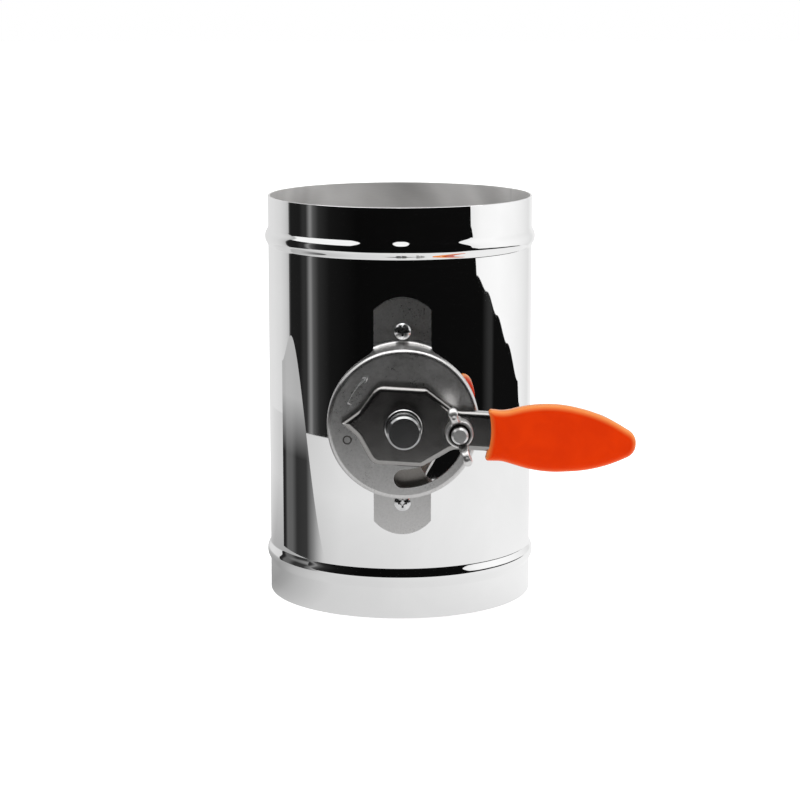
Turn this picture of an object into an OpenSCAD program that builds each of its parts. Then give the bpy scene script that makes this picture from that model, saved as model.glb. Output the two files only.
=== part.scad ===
/* [Duct] */
// Outer diameter of the duct collar
duct_d = 100; // [90:1:125]
// Length of the duct from rim to rim
duct_h = 152; // [140:1:200]
// Thickness of the duct sheet
duct_wall = 0.8; // [0.6:0.1:1.2]
// Distance from each rim to the middle of its bead
bead_inset = 15.3; // [12:0.1:18]
// Width of a bead along the duct
bead_w = 6.5; // [5:0.1:8]
// How far a bead stands proud of the collar
bead_out = 1.2; // [0.8:0.1:1.6]

/* [Blade and shaft] */
// Diameter of the shaft
shaft_d = 12; // [10:0.5:13]
// Diameter of the stub in the rear bush
stub_d = 8; // [6:0.5:9]
// Gap between the blade's edge and the duct
blade_gap = 0.8; // [0.5:0.1:1.5]
// Thickness of the blade
blade_t = 1.2; // [1:0.1:2]
// Distance of each blade screw from the duct axis
blade_screw_pos = 22; // [15:1:30]
// Thread diameter of the blade screws
blade_screw_d = 4; // [3:0.5:4]
// How far the shaft end stands out of the lever plate
shaft_proud = 10.8; // [8:0.1:13]

/* [Quadrant] */
// Diameter of the quadrant's disc
disc_d = 54.5; // [54:0.5:58]
// Distance from the duct to the front of the disc
disc_standoff = 16; // [14:0.5:20]
// Thickness of the quadrant's sheet
disc_t = 1.2; // [1:0.1:1.5]
// Depth of the disc's turned-down rim
rim_depth = 5; // [4:0.5:7]
// Outside radius of the rim's bend
rim_bend = 1.6; // [1.3:0.1:2.5]
// Width of the two mounting legs
leg_w = 21.6; // [18:0.2:24]
// Radius of the fillet where a leg leaves the rim
leg_fillet = 7; // [4:0.5:8]
// Radius of the bend between a leg and its tab
tab_bend = 1.4; // [1:0.1:2]
// Width of the tabs
tab_w = 21; // [18:0.5:22]
// Length of each tab beyond the disc's rim
tab_len = 16.45; // [14:0.05:18]
// Height of the arch at a tab's end
tab_arch = 4.85; // [3.5:0.05:6]
// Distance from the bend of a tab to the head of its screw
strap_screw_gap = 0; // [0:0.1:2]
// Thread diameter of the strap screws
strap_screw_d = 3; // [2.5:0.5:3]
// Distance from the disc's rim to the lock slot's centre line
slot_inset = 7.55; // [7.25:0.05:8.25]
// Width of the lock slot
slot_w = 6.8; // [6.6:0.1:7.2]
// Angle that the lever turns between its stops
swing = 90; // [60:5:90]
// Distance from the disc's front to the inner strap
strap_drop = 5; // [4.5:0.1:6]

/* [Lever] */
// Angle of the lever from its open stop, as set
lever_set = 3.7; // [0:0.1:10]
// Thickness of the lever sheet
lever_t = 1.5; // [1:0.1:1.8]
// Height of the lever's face above the disc
lever_rise = 4.5; // [4:0.1:6]
// Outside radius of the lever's turned edges
lever_bend = 1.9; // [1.5:0.1:2.2]
// Distance from the shaft to the pointer's tip
pointer_reach = 22.1; // [20:0.1:24]
// Half width of the lever's head
head_half = 14.3; // [13:0.1:15]
// Rounding of the head's corners on the pointer's side
cheek_round = 5; // [4:0.5:7]
// Rounding of the head's corners on the arm's side
shoulder_round = 2.4; // [2.3:0.1:4]
// Distance from the shaft to the corner where the head meets the arm
neck_pos = 18.2; // [17.5:0.1:20]
// Rounding of that corner
neck_round = 6; // [4:0.5:8]
// Half width of the lever's arm
arm_half = 7; // [6.5:0.1:8]
// Distance from the disc's rim to the start of the grip
grip_gap = 3.15; // [2.5:0.05:6]
// Length of the dipped grip
grip_len = 52.8; // [45:0.1:60]
// Half width of the grip at its widest
grip_half = 12; // [11:0.1:13]
// Thickness of the dipped coat
grip_coat = 1.6; // [1.2:0.1:2]

/* [Lock] */
// Thread diameter of the lock bolt
bolt_d = 6; // [5:0.5:6]
// How far the lock bolt stands out of the lever plate
bolt_proud = 10.2; // [9:0.1:12]
// Angle of the wing nut's wings from level, as set
wing_set = 107; // [0:1:180]
// Reach of each wing from the bolt axis
wing_reach = 10.9; // [9:0.1:11]
// Thickness of a wing
wing_t = 3.4; // [2.5:0.1:4]
// Height of the wing nut's hub
hub_h = 7; // [6:0.1:8]
// Height of the wing tips above the lever plate
wing_h = 14; // [12:0.1:15]

/* [Hidden] */
$fn = 96;
run_gap = 0.05;      // radial clearance of a turning fit
seat_gap = 0.02;     // radial clearance of a fixed fit
rub_gap = 0.1;       // clearance between flat faces that slide
clear_gap = 0.3;     // clearance between pieces that only pass
hole_gap = 0.1;      // radial clearance of a screw in a sheet's hole
sheet_gap = 0.05;    // gap between a bush and the duct's round wall
duct_r = duct_d / 2;
bore_r = duct_r - duct_wall;
shaft_z = duct_h / 2;
shaft_r = shaft_d / 2;
stub_r = stub_d / 2;
disc_r = disc_d / 2;
bead_arc = (bead_w * bead_w / 4 + bead_out * bead_out) / (2 * bead_out);
disc_front = duct_r + disc_standoff;
disc_back = disc_front - disc_t;
rim_back = disc_front - rim_depth;
strap_front = disc_front - strap_drop;
strap_back = strap_front - disc_t;
lever_front = disc_front + lever_rise;
lever_under = lever_front - lever_t;
lever_edge = disc_front + clear_gap;
neck_wall = 1.4;     // wall of a bush where it passes through a sheet
bush_wall = 3;       // wall of the front bush between the duct and the inner strap
flange_wall = 4;     // wall of the rear bush's outer flange
flange_t = 2;
washer_ring = 3;     // how far the rear washer reaches round the stub
pad_ring = 4.5;      // how far the lever's washer reaches round the shaft
stub_tail = 3;       // length of the stub behind its clip
flat_inset = 2.7;    // distance from the shaft's shoulder to its flat
lip_wall = 2.2;      // wall of a bush's rolled lip, inside the duct
neck_r = shaft_r + neck_wall;
lip_r = shaft_r + lip_wall;
bush_r = shaft_r + bush_wall;
bush_lip_t = 1.3;
front_lip_z = sqrt(bore_r * bore_r - lip_r * lip_r) - sheet_gap;
front_bush_back = front_lip_z - bush_lip_t;
rear_neck_r = stub_r + neck_wall;
rear_lip_r = stub_r + lip_wall;
rear_flange_r = stub_r + flange_wall;
rear_flange_z = duct_r + sheet_gap;
rear_face_z = rear_flange_z + flange_t;
rear_lip_z = sqrt(bore_r * bore_r - rear_lip_r * rear_lip_r) - sheet_gap;
rear_bush_front = rear_lip_z - bush_lip_t;
shoulder_z = rear_bush_front - clear_gap;
washer_t = 1.2;
clip_t = 0.9;
clip_z = rear_face_z + 2 * rub_gap + washer_t;
groove_r = stub_r - 0.9;
stub_end = clip_z + clip_t + stub_tail;
flat_front = front_bush_back - 1;
flat_rear = shoulder_z - flat_inset;
blade_r = bore_r - blade_gap;
notch_half = bush_r + 0.5;
blade_screw_r = blade_screw_d / 2;
blade_washer_t = 0.8;
strap_screw_r = strap_screw_d / 2;
strap_screw_pos = disc_r + tab_bend + strap_screw_d + strap_screw_gap;
strap_nut_h = 0.8 * strap_screw_d;
strap_screw_len = disc_t + duct_wall + strap_nut_h + 1.2;
bolt_r = bolt_d / 2;
leg_foot = sqrt(duct_r * duct_r - tab_w * tab_w / 4) - 2 * disc_t;    // below the lowest point of a tab
slot_r = disc_r - slot_inset;
slot_out = slot_r + slot_w / 2;
slot_in = slot_r - slot_w / 2;
eye_r = bush_r + 2;
strap_half = leg_w / 2 - 0.6;
strap_waist = eye_r / 2;
strap_flare = [15.2, 22.7];    // where the inner strap starts to widen and where it is full
strap_flange = 4.8;
bolt_head_half = 5.5;
bolt_head_t = 2.5;
bolt_head_reach = sqrt(pow(disc_r - disc_t - 0.7, 2) - pow(bolt_head_half, 2)) - slot_r;
ring_h = 0.7;        // height of the ring that holds the lever to the shaft
edge_overlap = 0.3;
grip_start = disc_r + grip_gap;
grip_end = grip_start + grip_len;
head_ahead = 0.52 * head_half;       // how far the head keeps its full width towards the arm
head_behind = 0.72 * head_half;      // and towards the pointer
pointer_base = 0.74 * pointer_reach; // where the pointer's tip starts
pointer_half = 0.33 * head_half;     // and its half width there
root_inset = 1.2;    // how far the arm's own width runs on under the grip
root_round = 12;     // rounding where the arm widens into the paddle
mouth_lip = 0.6;     // how far the grip's mouth stands out of its coat
mouth_hollow = 1.6;  // depth of the hollow in the grip's inner end
mouth_round = 30;
belly = [0.38, 0.6, 45];     // where the grip is widest, as a share of its length, its excess, its rounding
waist = [0.76, 0.83, 20];    // where it starts to taper, and its share of the width there
tip = [0.27, 0.55, 0.26];    // width, inset and rounding of the tip, as shares

// The shaft's frame: x to the right, y up, z out of the front, from the duct axis
module on_shaft() {
    translate([0, 0, shaft_z]) rotate([90, 0, 0]) children();
}

// The same frame, turned with the lever
module on_lever() {
    on_shaft() rotate([0, 0, -lever_set]) children();
}

// The lock bolt's frame on the lever
module on_bolt() {
    on_lever() translate([slot_r, 0, 0]) children();
}

// A flat drawing seen from the front, as a sheet from z0 to z1
module sheet(z0, z1) {
    translate([0, 0, z0]) linear_extrude(height = z1 - z0) children();
}

module tube(r_out, r_in, z0, z1) {
    translate([0, 0, z0]) difference() {
        cylinder(r = r_out, h = z1 - z0);
        translate([0, 0, -1]) cylinder(r = r_in, h = z1 - z0 + 2);
    }
}

function unit(v) = v / norm(v);
function left_of(v) = [-v.y, v.x];

// The corner b of an outline a, b, c, rounded and moved inward by d. Its arc keeps its centre
function corner_arc(a, b, c, r, d, steps) =
    let (u = unit(b - a), v = unit(c - b),
         turn = atan2(u.x * v.y - u.y * v.x, u * v),
         rho = turn > 0 ? max(r, d + 0.1) : -r,
         centre = b + (left_of(u) + left_of(v)) * rho / (1 + u * v),
         start = atan2(-u.x, u.y))
    [for (k = [0 : steps]) let (t = start + turn * k / steps)
        centre + (rho - d) * [cos(t), sin(t)]];

// Outline of corners [x, y, radius] in anticlockwise order, moved inward by d
function outline(corners, d, steps = 5) =
    let (n = len(corners), p = [for (c = corners) [c.x, c.y]])
    [for (i = [0 : n - 1])
        each corner_arc(p[(i + n - 1) % n], p[i], p[(i + 1) % n], corners[i].z, d, steps)];

// A solid skin through rings of equally many points, closed at both ends
module skin(rings) {
    n = len(rings[0]);
    m = len(rings);
    points = [for (r = rings) each r];
    sides = [for (j = [0 : m - 2]) for (i = [0 : n - 1])
        let (a = j * n + i, b = j * n + (i + 1) % n)
        each [[a, a + n, b + n], [a, b + n, b]]];
    polyhedron(points = points, faces = concat([[for (i = [0 : n - 1]) i]], sides,
        [[for (i = [n - 1 : -1 : 0]) (m - 1) * n + i]]), convexity = 8);
}

function ring_at(corners, d, z) = [for (p = outline(corners, d)) [p.x, p.y, z]];

// Section of a turned-down edge: x is 0 at the outer face and runs inward below 0
module edge_section(z_low, z_top, t, bend) {
    strip = bend + edge_overlap;
    difference() {
        union() {
            translate([-t, z_low]) square([t, z_top - bend - z_low]);
            translate([-strip, z_top - t]) square([strip - bend, t]);
            intersection() {
                translate([-bend, z_top - bend]) circle(r = bend, $fn = 36);
                translate([-bend, z_top - bend]) square(bend);
            }
        }
        translate([-bend, z_top - bend]) circle(r = bend - t, $fn = 36);
    }
}

// Everything ahead of a mitre through point p, for an edge that arrives on the given heading
module ahead_of(p, heading, size) {
    translate(p) rotate([0, 0, heading]) translate([-size / 2, 0, 0]) cube([size, size, size]);
}

// The section carried round an outline: a sweep for each corner and a run for each side.
// A corner of radius 0 is mitred
module turned_edge(corners, z_low, z_top, t, bend) {
    n = len(corners);
    p = [for (c = corners) [c.x, c.y]];
    far = 40;
    for (i = [0 : n - 1]) {
        j = (i + 1) % n;
        u = unit(p[i] - p[(i + n - 1) % n]);
        v = unit(p[j] - p[i]);
        w = unit(p[(i + 2) % n] - p[j]);
        turn = atan2(u.x * v.y - u.y * v.x, u * v);
        next_turn = atan2(v.x * w.y - v.y * w.x, v * w);
        heading = atan2(v.y, v.x) - 90;
        trim = corners[i].z * tan(abs(turn) / 2);
        next_trim = corners[j].z * tan(abs(next_turn) / 2);
        if (corners[i].z > 0)
            translate(p[i] + (left_of(u) + left_of(v)) * sign(turn) * corners[i].z / (1 + u * v))
                rotate([0, 0, atan2(-u.x, u.y) + (turn > 0 ? 0 : 180 + turn)])
                rotate_extrude(angle = abs(turn), $fn = 72) translate([corners[i].z, 0])
                mirror([turn > 0 ? 0 : 1, 0]) edge_section(z_low, z_top, t, bend);
        difference() {
            translate(p[j] - next_trim * v) rotate([0, 0, heading]) rotate([90, 0, 0])
                linear_extrude(height = norm(p[j] - p[i]) - trim - next_trim)
                edge_section(z_low, z_top, t, bend);
            translate([0, 0, z_low - 1]) {
                if (corners[i].z == 0) ahead_of(p[i], heading + 180 - turn / 2, far);
                if (corners[j].z == 0) ahead_of(p[j], heading + next_turn / 2, far);
            }
        }
    }
}

// A sheet with its edges turned down: its face at z_top, the ends of its edges at z_low
module turned_sheet(corners, z_low, z_top, t, bend) {
    turned_edge(corners, z_low, z_top, t, bend);
    sheet(z_top - t, z_top) polygon(outline(corners, bend + edge_overlap / 2));
}

// The circles that both beads are arcs of, in the duct's section
module bead_circles(r) {
    for (z = [bead_inset, duct_h - bead_inset])
        translate([duct_r + bead_out - bead_arc, z]) circle(r = r);
}

module duct_section() {
    difference() {
        union() {
            translate([bore_r, 0]) square([duct_wall, duct_h]);
            bead_circles(bead_arc);
        }
        bead_circles(bead_arc - duct_wall);
        translate([-duct_r, -1]) square([duct_r + bore_r, duct_h + 2]);
    }
}

module duct_shell() {
    color("gainsboro") difference() {
        rotate_extrude($fn = 128) duct_section();
        on_shaft() {
            cylinder(r = neck_r + seat_gap, h = duct_r + 2);
            translate([0, 0, -duct_r - 2]) cylinder(r = rear_neck_r + seat_gap, h = duct_r + 2);
            for (s = [-1, 1]) translate([0, s * strap_screw_pos, 0])
                cylinder(r = strap_screw_r + hole_gap, h = duct_r + 2);
        }
    }
}

// The slot that the lock bolt slides in, from the open stop down
module slot_shape() {
    difference() {
        intersection() {
            circle(r = slot_out);
            polygon(concat([[0, 0]], [for (k = [0 : 6])
                2 * slot_out * [cos(-swing * k / 6), sin(-swing * k / 6)]]));
        }
        circle(r = slot_in);
    }
    for (a = [0, -swing]) rotate([0, 0, a]) translate([slot_r, 0]) circle(r = slot_w / 2, $fn = 48);
}

// Face and rim of the disc, turned about the shaft
module disc_section() {
    difference() {
        union() {
            translate([0, rim_back]) square([disc_r, rim_depth - rim_bend]);
            translate([0, rim_back]) square([disc_r - rim_bend, rim_depth]);
            translate([disc_r - rim_bend, disc_front - rim_bend]) circle(r = rim_bend);
        }
        translate([-1, rim_back - 1])
            square([disc_r - rim_bend + 1, rim_depth - disc_t + 1]);
        translate([-1, rim_back - 1])
            square([disc_r - disc_t + 1, rim_depth - rim_bend + 1]);
        translate([disc_r - rim_bend, disc_front - rim_bend]) circle(r = rim_bend - disc_t);
    }
}

// A leg seen from above: a strip that widens into the rim
module leg_plan() {
    difference() {
        translate([-leg_w / 2 - leg_fillet, leg_foot])
            square([leg_w + 2 * leg_fillet, rim_back - leg_foot + 0.01]);
        for (s = [-1, 1]) {
            translate([s * (leg_w / 2 + leg_fillet), rim_back - leg_fillet]) circle(r = leg_fillet);
            translate([s * (leg_w / 2 + leg_fillet) - leg_fillet, leg_foot - 1])
                square([2 * leg_fillet, rim_back - leg_fillet - leg_foot + 1]);
        }
    }
}

// A tab's outline from the leg to its arched end
module tab_outline() {
    reach = disc_r + tab_len;
    arch_r = (tab_w * tab_w / 4 + tab_arch * tab_arch) / (2 * tab_arch);
    difference() {
        intersection() {
            translate([-tab_w / 2, 0]) square([tab_w, reach]);
            translate([0, reach - arch_r]) circle(r = arch_r);
        }
        circle(r = disc_r - disc_t);
    }
}

// The duct's outside, or a surface at another radius about the duct's axis
module duct_cylinder(r) {
    rotate([90, 0, 0]) translate([0, 0, -duct_h]) cylinder(r = r, h = 2 * duct_h, $fn = 128);
}

module quadrant_plate() {
    color("silver") on_shaft() difference() {
        union() {
            rotate_extrude() disc_section();
            intersection() {
                tube(disc_r, disc_r - disc_t, leg_foot, rim_back + 0.01);
                rotate([90, 0, 0]) translate([0, 0, -disc_r]) linear_extrude(height = disc_d) leg_plan();
            }
            for (a = [0, 180]) rotate([0, 0, a]) intersection() {
                duct_cylinder(duct_r + disc_t);
                sheet(leg_foot, duct_r + 2 * disc_t) tab_outline();
            }
            for (a = [0, 180]) rotate([0, 0, a]) tab_fillet();
        }
        duct_cylinder(duct_r);
        sheet(disc_back - 1, disc_front + 1) slot_shape();
        sheet(disc_back - 1, disc_front + 1) circle(r = shaft_r + 2 * clear_gap);
        for (s = [-1, 1]) translate([0, s * strap_screw_pos, leg_foot])
            cylinder(r = strap_screw_r + hole_gap, h = disc_standoff);
    }
}

// The rounded inside corner where a leg turns out into its tab
module tab_fillet() {
    top = duct_r + disc_t + tab_bend;
    difference() {
        intersection() {
            tube(disc_r + tab_bend, disc_r - disc_t / 2, leg_foot, top);
            translate([-tab_w / 2, 0, 0]) cube([tab_w, disc_r + tab_len, top]);
        }
        rotate_extrude() translate([disc_r + tab_bend, top]) circle(r = tab_bend, $fn = 48);
    }
}

// The inner strap: an hourglass plate with an eye for the bush and a flange against each leg
module bearing_strap() {
    end_y = disc_r - disc_t;
    color("darkgray") on_shaft() difference() {
        union() {
            sheet(strap_back, strap_front) intersection() {
                circle(r = end_y - seat_gap);
                union() {
                    circle(r = eye_r);
                    for (a = [0, 180]) rotate([0, 0, a])
                        polygon([[-strap_waist, 0], [strap_waist, 0], [strap_waist, strap_flare[0]],
                                 [strap_half, strap_flare[1]], [strap_half, end_y], [-strap_half, end_y],
                                 [-strap_half, strap_flare[1]], [-strap_waist, strap_flare[0]]]);
                }
            }
            intersection() {
                tube(end_y - seat_gap, end_y - disc_t - seat_gap, strap_back - strap_flange,
                     strap_back + 0.01);
                translate([-strap_half, -disc_r, 0]) cube([2 * strap_half, disc_d, disc_front]);
            }
        }
        sheet(strap_back - 1, strap_front + 1) circle(r = neck_r + seat_gap);
    }
}

// Cross recess of a screw head, cut into a head whose top is at z
module cross_recess(size, z, depth) {
    for (a = [0, 90]) rotate([0, 0, a]) translate([-size / 2, -size / 9, z - depth])
        cube([size, size / 4.5, depth + 1]);
    translate([0, 0, z - depth]) cylinder(r = size / 4, h = depth + 1, $fn = 24);
}

// Pan head screw pointing down from its seat at z
module pan_screw(d, head_d, head_h, z, length) {
    r = head_d / 2;
    dome = (r * r + head_h * head_h / 4) / head_h;
    difference() {
        union() {
            translate([0, 0, z - length]) cylinder(r = d / 2, h = length + 0.1, $fn = 48);
            translate([0, 0, z]) cylinder(r = r, h = head_h / 2, $fn = 64);
            intersection() {
                translate([0, 0, z + head_h - dome]) sphere(r = dome, $fn = 64);
                translate([0, 0, z + head_h / 2 - 0.01]) cylinder(r = r, h = head_h, $fn = 64);
            }
        }
        cross_recess(head_d * 0.55, z + head_h, head_h * 0.55);
    }
}

module strap_screw(side) {
    color("whitesmoke") on_shaft() translate([0, side * strap_screw_pos, 0])
        pan_screw(strap_screw_d, 2 * strap_screw_d, 0.75 * strap_screw_d, duct_r + disc_t,
                  strap_screw_len);
}

module upper_strap_screw() { strap_screw(1); }
module lower_strap_screw() { strap_screw(-1); }

module strap_nut(side) {
    nut_r = 1.06 * strap_screw_d;
    top = sqrt(bore_r * bore_r - nut_r * nut_r) - seat_gap;
    color("silver") on_shaft() translate([0, side * strap_screw_pos, top - strap_nut_h]) difference() {
        cylinder(r = nut_r, h = strap_nut_h, $fn = 6);
        translate([0, 0, -1]) cylinder(r = strap_screw_r + seat_gap, h = strap_nut_h + 2, $fn = 48);
    }
}

module upper_strap_nut() { strap_nut(1); }
module lower_strap_nut() { strap_nut(-1); }

module front_bush() {
    color("goldenrod") on_shaft() {
        tube(lip_r, shaft_r + run_gap, front_bush_back, front_lip_z);
        tube(neck_r, shaft_r + run_gap, front_lip_z - 0.01, duct_r + 0.1);
        tube(bush_r, shaft_r + run_gap, duct_r + sheet_gap, strap_back);
        tube(neck_r, shaft_r + run_gap, strap_back - 0.01, strap_front + 0.3);
    }
}

module rear_bush() {
    color("goldenrod") on_shaft() mirror([0, 0, 1]) {
        tube(rear_lip_r, stub_r + run_gap, rear_bush_front, rear_lip_z);
        tube(rear_neck_r, stub_r + run_gap, rear_lip_z - 0.01, duct_r + 0.1);
        tube(rear_flange_r, stub_r + run_gap, rear_flange_z, rear_face_z);
    }
}

module rear_washer() {
    z = rear_face_z + rub_gap;
    color("silver") on_shaft() mirror([0, 0, 1]) tube(stub_r + washer_ring, stub_r + seat_gap, z, z + washer_t);
}

// Retaining clip, open on one side, with two relief notches in its grip on the groove
module rear_clip() {
    clip_r = stub_r + 2.6;
    color("dimgray") on_shaft() mirror([0, 0, 1]) translate([0, 0, clip_z])
        linear_extrude(height = clip_t) difference() {
            circle(r = clip_r, $fn = 64);
            circle(r = groove_r + seat_gap, $fn = 64);
            translate([-groove_r * 0.8, -clip_r - 1]) square([groove_r * 1.6, clip_r + 1]);
            for (a = [45, 135]) rotate([0, 0, a]) translate([groove_r, 0]) circle(r = 1.1, $fn = 32);
        }
}

// The turned bar: full diameter to the shoulder, then the stub with the clip's groove
module shaft_bar() {
    front = lever_front + shaft_proud;
    chamfer = 0.6;
    groove_end = -clip_z - clip_t - run_gap;
    rotate_extrude() polygon([[0, -stub_end], [stub_r - chamfer, -stub_end],
        [stub_r, -stub_end + chamfer], [stub_r, groove_end], [groove_r, groove_end],
        [groove_r, -clip_z], [stub_r, -clip_z], [stub_r, -shoulder_z], [shaft_r, -shoulder_z],
        [shaft_r, front - chamfer], [shaft_r - chamfer, front], [0, front]]);
}

// The bar with the flat that the blade is screwed to
module shaft() {
    color("silver") on_lever() difference() {
        shaft_bar();
        translate([-blade_t / 2, -shaft_d, -flat_rear])
            cube([shaft_d, 2 * shaft_d, flat_rear + flat_front]);
        for (s = [-1, 1]) translate([0, 0, s * blade_screw_pos]) rotate([0, -90, 0])
            cylinder(r = blade_screw_r + seat_gap, h = shaft_d, $fn = 48);
    }
}

// A round blade, notched at both ends of the flat to pass the bushes
module blade() {
    color("lightgray") on_lever() translate([-blade_t / 2, 0, 0]) rotate([90, 0, 90])
        linear_extrude(height = blade_t) difference() {
            circle(r = blade_r, $fn = 128);
            translate([-notch_half, flat_front - clear_gap]) square([2 * notch_half, blade_r]);
            translate([-notch_half, clear_gap - flat_rear - blade_r])
                square([2 * notch_half, blade_r]);
            for (s = [-1, 1]) translate([0, s * blade_screw_pos])
                circle(r = blade_screw_r + hole_gap, $fn = 48);
        }
}

module blade_screw(side) {
    seat = blade_t / 2 + blade_washer_t;
    color("silver") on_lever() translate([0, 0, side * blade_screw_pos]) rotate([0, 90, 0])
        pan_screw(blade_screw_d, 2 * blade_screw_d, 0.65 * blade_screw_d, seat, seat + shaft_r - 0.6);
}

module front_blade_screw() { blade_screw(1); }
module rear_blade_screw() { blade_screw(-1); }

module blade_washer(side) {
    color("silver") on_lever() translate([0, 0, side * blade_screw_pos]) rotate([0, 90, 0])
        tube(1.1 * blade_screw_d, blade_screw_r + hole_gap, blade_t / 2,
             blade_t / 2 + blade_washer_t);
}

module front_blade_washer() { blade_washer(1); }
module rear_blade_washer() { blade_washer(-1); }

module lever_washer() {
    color("dimgray") on_lever()
        tube(shaft_r + pad_ring, shaft_r + seat_gap, disc_front + rub_gap, lever_under);
}

// Half outline of the paddle that the grip covers, inset by d, from its root to its tip
function paddle_half(d) = [
    [grip_start + belly[0] * grip_len, grip_half + belly[1] - d, belly[2]],
    [grip_start + waist[0] * grip_len, waist[1] * grip_half - 0.9 * d, waist[2]],
    [grip_end - d, tip[0] * grip_half - tip[1] * d, tip[2] * grip_half]];

lever_top = concat(
    [for (p = [2 : -1 : 0]) paddle_half(grip_coat)[p]],
    [[grip_start + root_inset, arm_half, root_round], [neck_pos, arm_half, neck_round],
     [head_ahead, head_half, shoulder_round], [-head_behind, head_half, cheek_round],
     [-pointer_base, pointer_half, neck_round]]);
lever_corners = concat([[-pointer_reach, 0, 0]],
    [for (i = [len(lever_top) - 1 : -1 : 0]) [lever_top[i].x, -lever_top[i].y, lever_top[i].z]],
    lever_top);

// The pressed lever: pointer, head, arm and paddle in one sheet, with its edges turned down
module lever_plate() {
    color("dimgray") on_lever() difference() {
        union() {
            turned_sheet(lever_corners, lever_edge, lever_front, lever_t, lever_bend);
            tube(shaft_r + 1, shaft_r - 1, lever_under, lever_front + ring_h);
        }
        translate([0, 0, disc_front]) cylinder(r = shaft_r + seat_gap, h = 2 * lever_rise);
        translate([slot_r, 0, disc_front]) cylinder(r = bolt_r + seat_gap, h = 2 * lever_rise);
    }
}

grip_top = concat([for (p = [2 : -1 : 0]) paddle_half(0)[p]],
    [[grip_start + root_round / 2, arm_half + grip_coat + mouth_lip / 2, root_round],
     [grip_start, arm_half + grip_coat + mouth_lip, 1]]);
grip_corners = concat([[grip_start + mouth_hollow, 0, mouth_round]],
    [for (i = [len(grip_top) - 1 : -1 : 0]) [grip_top[i].x, -grip_top[i].y, grip_top[i].z]],
    grip_top);

// The dipped coat that covers the paddle on all sides
module lever_grip() {
    low = lever_edge - grip_coat;
    top = lever_front + grip_coat;
    edge = (top - low) / 2 - 0.4;    // radius of the coat's round edge
    steps = 6;
    color("orangered") on_lever() difference() {
        skin(concat(
            [for (k = [steps : -1 : 0]) let (a = 90 * k / steps)
                ring_at(grip_corners, edge * (1 - cos(a)) * 0.8, low + edge * (1 - sin(a)))],
            [for (k = [0 : steps]) let (a = 90 * k / steps)
                ring_at(grip_corners, edge * (1 - cos(a)) * 0.8, top - edge * (1 - sin(a)))]));
        sheet(lever_edge - seat_gap, lever_front + seat_gap) polygon(outline(lever_corners, -seat_gap));
    }
}

// The bolt that slides in the slot: its square head runs behind the disc
module lock_bolt() {
    chamfer = 0.7;
    front = lever_front + bolt_proud;
    seat = disc_back - rub_gap;
    color("silver") on_bolt() {
        rotate_extrude() polygon([[0, seat - 1], [bolt_r, seat - 1], [bolt_r, front - chamfer],
            [bolt_r - chamfer, front], [0, front]]);
        translate([-bolt_head_reach, -bolt_head_half, seat - bolt_head_t])
            cube([2 * bolt_head_reach, 2 * bolt_head_half, bolt_head_t]);
    }
}

// One wing: a rounded paddle that rises from the hub
module wing() {
    tip_r = wing_t * 0.85;
    hull() {
        translate([bolt_r + 0.6, -wing_t / 2, 1.2]) cube([1, wing_t, hub_h - 2.4]);
        translate([wing_reach - tip_r, 0, wing_h - tip_r]) rotate([90, 0, 0])
            cylinder(r = tip_r, h = wing_t - 1, center = true, $fn = 32);
        translate([wing_reach - tip_r, 0, wing_h - tip_r]) rotate([90, 0, 0])
            cylinder(r = tip_r - 0.5, h = wing_t, center = true, $fn = 32);
    }
}

module wing_nut() {
    base_r = bolt_r + 2.5;
    hub_r = bolt_r + 1.75;
    foot_h = 1.6;
    color("silver") on_bolt() rotate([0, 0, wing_set + lever_set])
        translate([0, 0, lever_front + rub_gap]) difference() {
            union() {
                cylinder(r = base_r, h = foot_h, $fn = 64);
                translate([0, 0, foot_h])
                    cylinder(r1 = base_r, r2 = hub_r, h = hub_h - foot_h, $fn = 64);
                for (a = [0, 180]) rotate([0, 0, a]) wing();
            }
            translate([0, 0, -1]) cylinder(r = bolt_r + run_gap, h = wing_h + 2, $fn = 64);
        }
}

duct_shell();
quadrant_plate();
bearing_strap();
upper_strap_screw();
lower_strap_screw();
upper_strap_nut();
lower_strap_nut();
front_bush();
rear_bush();
rear_washer();
rear_clip();
shaft();
blade();
front_blade_screw();
rear_blade_screw();
front_blade_washer();
rear_blade_washer();
lever_washer();
lever_plate();
lever_grip();
lock_bolt();
wing_nut();
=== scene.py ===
import math

import bmesh
import bpy
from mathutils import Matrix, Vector


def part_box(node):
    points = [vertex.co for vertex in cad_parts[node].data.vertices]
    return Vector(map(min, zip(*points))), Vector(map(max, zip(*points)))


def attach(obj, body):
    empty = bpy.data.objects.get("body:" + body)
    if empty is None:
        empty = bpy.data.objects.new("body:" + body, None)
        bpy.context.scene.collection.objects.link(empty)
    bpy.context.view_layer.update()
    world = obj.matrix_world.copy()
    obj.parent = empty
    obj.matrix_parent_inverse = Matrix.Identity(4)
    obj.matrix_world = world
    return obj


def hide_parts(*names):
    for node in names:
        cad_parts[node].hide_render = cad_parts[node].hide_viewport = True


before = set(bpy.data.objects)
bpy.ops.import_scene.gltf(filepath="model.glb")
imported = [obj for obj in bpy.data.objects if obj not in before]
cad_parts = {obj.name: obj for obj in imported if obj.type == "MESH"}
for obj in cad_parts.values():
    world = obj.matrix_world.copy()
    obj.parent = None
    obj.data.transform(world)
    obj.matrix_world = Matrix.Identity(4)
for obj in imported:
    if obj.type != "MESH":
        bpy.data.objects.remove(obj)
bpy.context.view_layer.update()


# The duct. A strip of thin stainless sheet, polished like a mirror on one side, is rolled with that
# side out and welded along one line. A bead is rolled in near each rim to stiffen it, and inside
# the sheet keeps the dull grey skin that it left the mill with.
duct_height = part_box("duct_shell")[1].z
outer_radius = 0.050
sheet_thickness = 0.0008
bead_middles = (0.0153, duct_height - 0.0153)
bead_rise = 0.0012
bead_reach = 0.0038
bead_flatness = 1.3
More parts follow.
